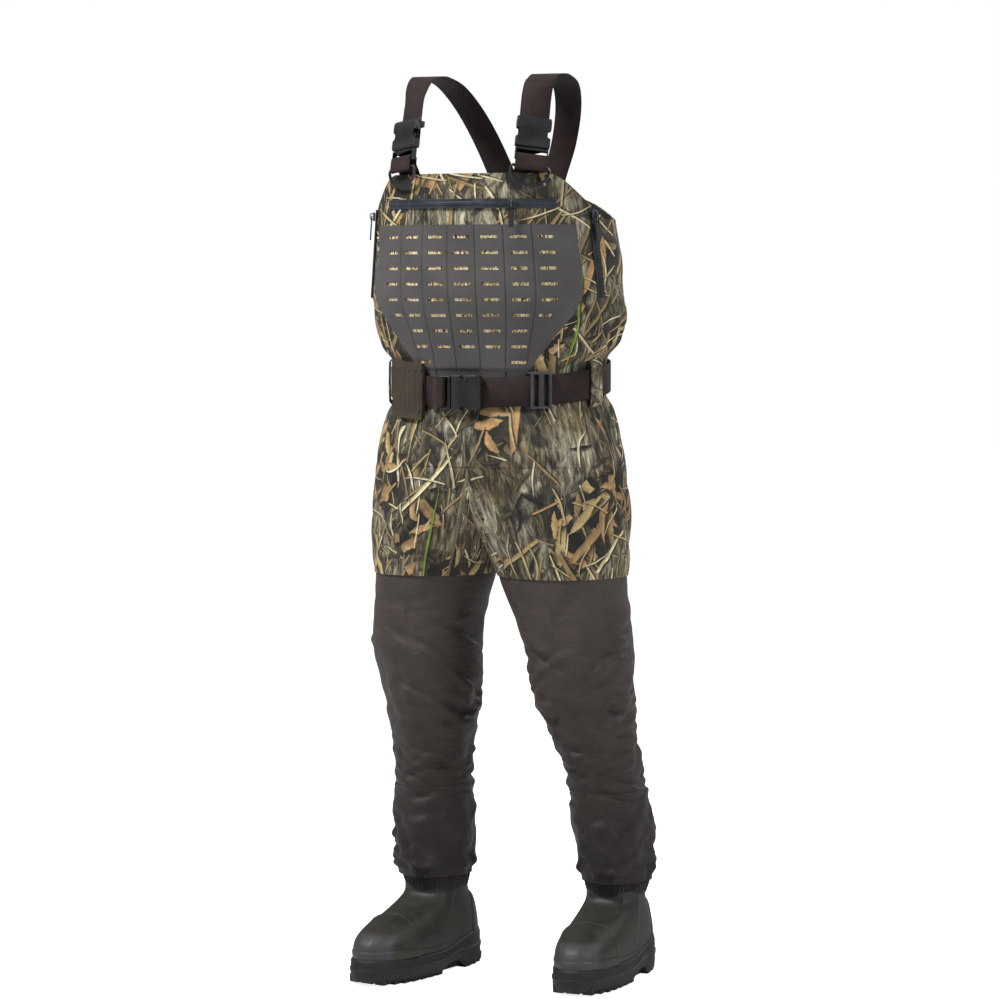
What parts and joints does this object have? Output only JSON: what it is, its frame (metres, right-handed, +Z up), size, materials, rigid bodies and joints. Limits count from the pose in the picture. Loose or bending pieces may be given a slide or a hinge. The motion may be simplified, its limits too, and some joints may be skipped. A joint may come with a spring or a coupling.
{
  "type": "chest waders",
  "caption": "Insulated boot-foot chest waders with slotted chest panel, zip pockets, adjustable shoulder straps, waist belt, gathered ankle cuffs and lugged rubber boots.",
  "frame": {"origin": "on the floor between the boots, below the middle of the bounding box, 12 mm to the wearer's left of the waist's middle", "axes": "+Z up, the wearer faces -Y, and +X is the wearer's left"},
  "size_m": [0.4867, 0.3765, 1.544],
  "materials": {
    "camouflage": "printed ripstop laminate, matt",
    "brown_nylon": "smooth dark brown woven nylon laminate",
    "grey_panel": "laser-cut laminated nylon, matt",
    "webbing": "dark red-brown nylon webbing",
    "black_plastic": "moulded acetal, fine texture",
    "grey_metal": "dark coated metal",
    "zip_tape": "coated waterproof zip tape, satin",
    "boot_rubber": "moulded rubber, satin, dark olive brown",
    "sole_rubber": "black lugged rubber",
    "neoprene": "black neoprene"
  },
  "bodies": {
    "garment": {"bib": "camouflage", "back_yoke": "camouflage", "left_belt_loop": "camouflage", "right_belt_loop": "camouflage", "back_belt_loop": "camouflage", "chest_panel": "grey_panel", "inner_pocket": "neoprene", "chest_zip_tape": "zip_tape", "belt_buckle_plug": "black_plastic", "belt_webbing": "webbing", "belt_end_fold": "webbing", "shell_holder": "brown_nylon", "right_pocket_zip_tape": "zip_tape", "right_strap_buckle_plug": "black_plastic", "right_shoulder_strap": "webbing", "right_strap_tab": "webbing", "left_pocket_zip_tape": "zip_tape", "left_strap_buckle_plug": "black_plastic", "left_shoulder_strap": "webbing", "left_strap_tab": "webbing"},
    "right_upper_leg": {"right_seat_half": "camouflage", "right_thigh": "brown_nylon"},
    "right_lower_leg": {"right_knee": "brown_nylon", "right_shin": "brown_nylon", "right_gaiter": "brown_nylon"},
    "right_foot": {"right_ankle_cuff": "brown_nylon", "right_boot_upper": "boot_rubber", "right_toe_cap": "boot_rubber", "right_outsole": "sole_rubber", "right_insole": "neoprene", "right_boot_liner": "neoprene"},
    "right_strap_socket": {"right_strap_buckle_socket": "black_plastic"},
    "right_inner_prong": {"right_strap_buckle_inner_prong": "black_plastic"},
    "right_outer_prong": {"right_strap_buckle_outer_prong": "black_plastic"},
    "right_ring": {"right_d_ring": "black_plastic"},
    "right_pocket_slider": {"right_pocket_zip_slider": "grey_metal"},
    "right_pocket_puller": {"right_pocket_zip_puller": "black_plastic"},
    "left_upper_leg": {"left_seat_half": "camouflage", "left_thigh": "brown_nylon"},
    "left_lower_leg": {"left_knee": "brown_nylon", "left_shin": "brown_nylon", "left_gaiter": "brown_nylon"},
    "left_foot": {"left_ankle_cuff": "brown_nylon", "left_boot_upper": "boot_rubber", "left_toe_cap": "boot_rubber", "left_outsole": "sole_rubber", "left_insole": "neoprene", "left_boot_liner": "neoprene"},
    "left_strap_socket": {"left_strap_buckle_socket": "black_plastic"},
    "left_inner_prong": {"left_strap_buckle_inner_prong": "black_plastic"},
    "left_outer_prong": {"left_strap_buckle_outer_prong": "black_plastic"},
    "left_ring": {"left_d_ring": "black_plastic"},
    "left_pocket_slider": {"left_pocket_zip_slider": "grey_metal"},
    "left_pocket_puller": {"left_pocket_zip_puller": "black_plastic"},
    "belt_socket": {"belt_buckle_socket": "black_plastic"},
    "belt_upper_prong": {"belt_buckle_upper_prong": "black_plastic"},
    "belt_lower_prong": {"belt_buckle_lower_prong": "black_plastic"},
    "belt_glide": {"belt_tri_glide": "grey_metal"},
    "chest_slider": {"chest_zip_slider": "grey_metal"},
    "chest_puller": {"chest_zip_puller": "black_plastic"}
  },
  "joints": [
    {"name": "right_hip_flexion", "type": "hinge", "parent": "garment", "child": "right_upper_leg", "pos_m": [-0.138, 0.0207, 0.86], "axis": [-1, 0, 0], "range_deg": [-15, 45], "deforming": ["right_seat_half"]},
    {"name": "right_knee_flexion", "type": "hinge", "parent": "right_upper_leg", "child": "right_lower_leg", "pos_m": [-0.138, 0.0127, 0.5], "axis": [1, 0, 0], "range_deg": [0, 60], "deforming": ["right_knee"]},
    {"name": "right_ankle_flexion", "type": "hinge", "parent": "right_lower_leg", "child": "right_foot", "pos_m": [-0.14319, 0.04053, 0.112], "axis": [-0.9816, 0.1908, 0], "range_deg": [-20, 15], "deforming": ["right_ankle_cuff", "right_boot_liner"]},
    {"name": "right_strap_buckle_release", "type": "slide", "parent": "garment", "child": "right_strap_socket", "axis": [0, 0.2588, 0.9659], "range_m": [0, 0.035]},
    {"name": "right_outer_prong_squeeze", "type": "hinge", "parent": "garment", "child": "right_outer_prong", "pos_m": [-0.13631, -0.12297, 1.41436], "axis": [0.4642, 0.8556, -0.2292], "range_deg": [0, 8], "stiffness_Nm_per_rad": 0.05},
    {"name": "right_inner_prong_squeeze", "type": "hinge", "parent": "garment", "child": "right_inner_prong", "pos_m": [-0.11187, -0.13534, 1.41768], "axis": [-0.4642, -0.8556, 0.2292], "range_deg": [0, 8], "stiffness_Nm_per_rad": 0.05},
    {"name": "right_d_ring_swing", "type": "hinge", "parent": "garment", "child": "right_ring", "pos_m": [-0.12803, -0.14528, 1.38494], "axis": [-0.8858, 0.4483, -0.1201], "range_deg": [0, 110]},
    {"name": "right_pocket_zip_slide", "type": "slide", "parent": "garment", "child": "right_pocket_slider", "axis": [-0.0913, 0.0533, -0.9944], "range_m": [0, 0.128]},
    {"name": "right_pocket_puller_flip", "type": "hinge", "parent": "right_pocket_slider", "child": "right_pocket_puller", "pos_m": [-0.21702, -0.06971, 1.3066], "axis": [-0.4556, 0.8857, 0.0893], "range_deg": [0, 165]},
    {"name": "left_hip_flexion", "type": "hinge", "parent": "garment", "child": "left_upper_leg", "pos_m": [0.135, 0.0207, 0.86], "axis": [-1, 0, 0], "range_deg": [-15, 45], "deforming": ["left_seat_half"]},
    {"name": "left_knee_flexion", "type": "hinge", "parent": "left_upper_leg", "child": "left_lower_leg", "pos_m": [0.135, 0.0267, 0.5], "axis": [1, 0, 0], "range_deg": [0, 60], "deforming": ["left_knee"]},
    {"name": "left_ankle_flexion", "type": "hinge", "parent": "left_lower_leg", "child": "left_foot", "pos_m": [0.17127, 0.09526, 0.112], "axis": [-1, 0, 0], "range_deg": [-20, 15], "deforming": ["left_ankle_cuff", "left_boot_liner"]},
    {"name": "left_strap_buckle_release", "type": "slide", "parent": "garment", "child": "left_strap_socket", "axis": [0, 0.2588, 0.9659], "range_m": [0, 0.035]},
    {"name": "left_outer_prong_squeeze", "type": "hinge", "parent": "garment", "child": "left_outer_prong", "pos_m": [0.11231, -0.12297, 1.41436], "axis": [0.4642, -0.8556, 0.2292], "range_deg": [0, 8], "stiffness_Nm_per_rad": 0.05},
    {"name": "left_inner_prong_squeeze", "type": "hinge", "parent": "garment", "child": "left_inner_prong", "pos_m": [0.08786, -0.13534, 1.41768], "axis": [-0.4642, 0.8556, -0.2292], "range_deg": [0, 8], "stiffness_Nm_per_rad": 0.05},
    {"name": "left_d_ring_swing", "type": "hinge", "parent": "garment", "child": "left_ring", "pos_m": [0.10403, -0.14528, 1.38494], "axis": [-0.8858, -0.4483, 0.1201], "range_deg": [0, 110]},
    {"name": "left_pocket_zip_slide", "type": "slide", "parent": "garment", "child": "left_pocket_slider", "axis": [0.0913, 0.0533, -0.9944], "range_m": [0, 0.128]},
    {"name": "left_pocket_puller_flip", "type": "hinge", "parent": "left_pocket_slider", "child": "left_pocket_puller", "pos_m": [0.19303, -0.06971, 1.3066], "axis": [-0.4556, -0.8857, -0.0893], "range_deg": [0, 165]},
    {"name": "belt_buckle_release", "type": "hinge", "parent": "garment", "child": "belt_socket", "pos_m": [-0.012, 0.12543, 1.01], "axis": [0, 0, 1], "range_deg": [0, 8]},
    {"name": "belt_lower_prong_squeeze", "type": "hinge", "parent": "garment", "child": "belt_lower_prong", "pos_m": [-0.0376, -0.1378, 0.9962], "axis": [0, -1, 0], "range_deg": [0, 8], "stiffness_Nm_per_rad": 0.05},
    {"name": "belt_upper_prong_squeeze", "type": "hinge", "parent": "garment", "child": "belt_upper_prong", "pos_m": [-0.0376, -0.1378, 1.0238], "axis": [0, 1, 0], "range_deg": [0, 8], "stiffness_Nm_per_rad": 0.05},
    {"name": "tri_glide_slide", "type": "hinge", "parent": "garment", "child": "belt_glide", "pos_m": [0.00796, 0.06684, 1.01424], "axis": [0, 0, 1], "range_deg": [-4, 2.5]},
    {"name": "chest_zip_travel", "type": "hinge", "parent": "garment", "child": "chest_slider", "pos_m": [-0.012, 0.0843, 1.325], "axis": [0, 0, 1], "range_deg": [-54, 14]},
    {"name": "chest_puller_flip", "type": "hinge", "parent": "chest_slider", "child": "chest_puller", "pos_m": [0.07607, -0.16033, 1.325], "axis": [-0.9409, -0.3387, 0], "range_deg": [0, 165]}
  ],
  "couplings": [
    {"joint": "right_inner_prong_squeeze", "follows": "right_outer_prong_squeeze", "ratio": 1},
    {"joint": "left_inner_prong_squeeze", "follows": "left_outer_prong_squeeze", "ratio": 1},
    {"joint": "belt_upper_prong_squeeze", "follows": "belt_lower_prong_squeeze", "ratio": 1}
  ]
}
